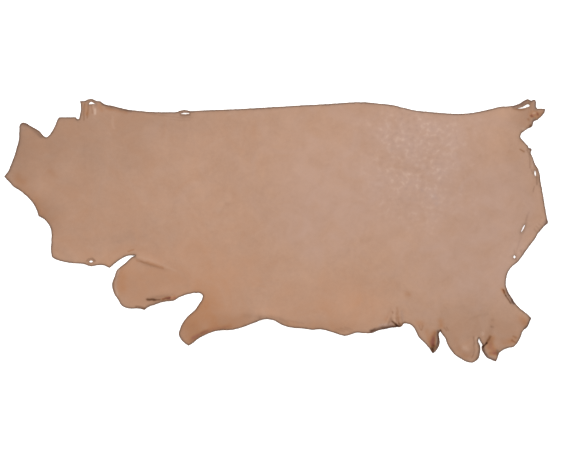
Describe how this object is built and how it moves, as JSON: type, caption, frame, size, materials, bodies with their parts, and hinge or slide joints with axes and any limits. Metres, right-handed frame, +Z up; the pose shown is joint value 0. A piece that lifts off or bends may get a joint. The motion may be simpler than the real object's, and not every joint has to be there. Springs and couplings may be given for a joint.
{
  "type": "leather side",
  "caption": "Half hide of vegetable-tanned leather lying flat, grain side up, with an uneven natural outline, curled rims and small torn edge holes.",
  "frame": {"origin": "middle of the hide's outline, on the surface that it rests on", "axes": "+X from neck to tail, +Y towards the back line, +Z up out of the grain side"},
  "size_m": [2.39, 1.1607, 0.0228],
  "materials": {
    "leather": "undyed vegetable-tanned grain, matt to satin"
  },
  "bodies": {
    "root": {"leather_side": "leather"}
  },
  "joints": []
}
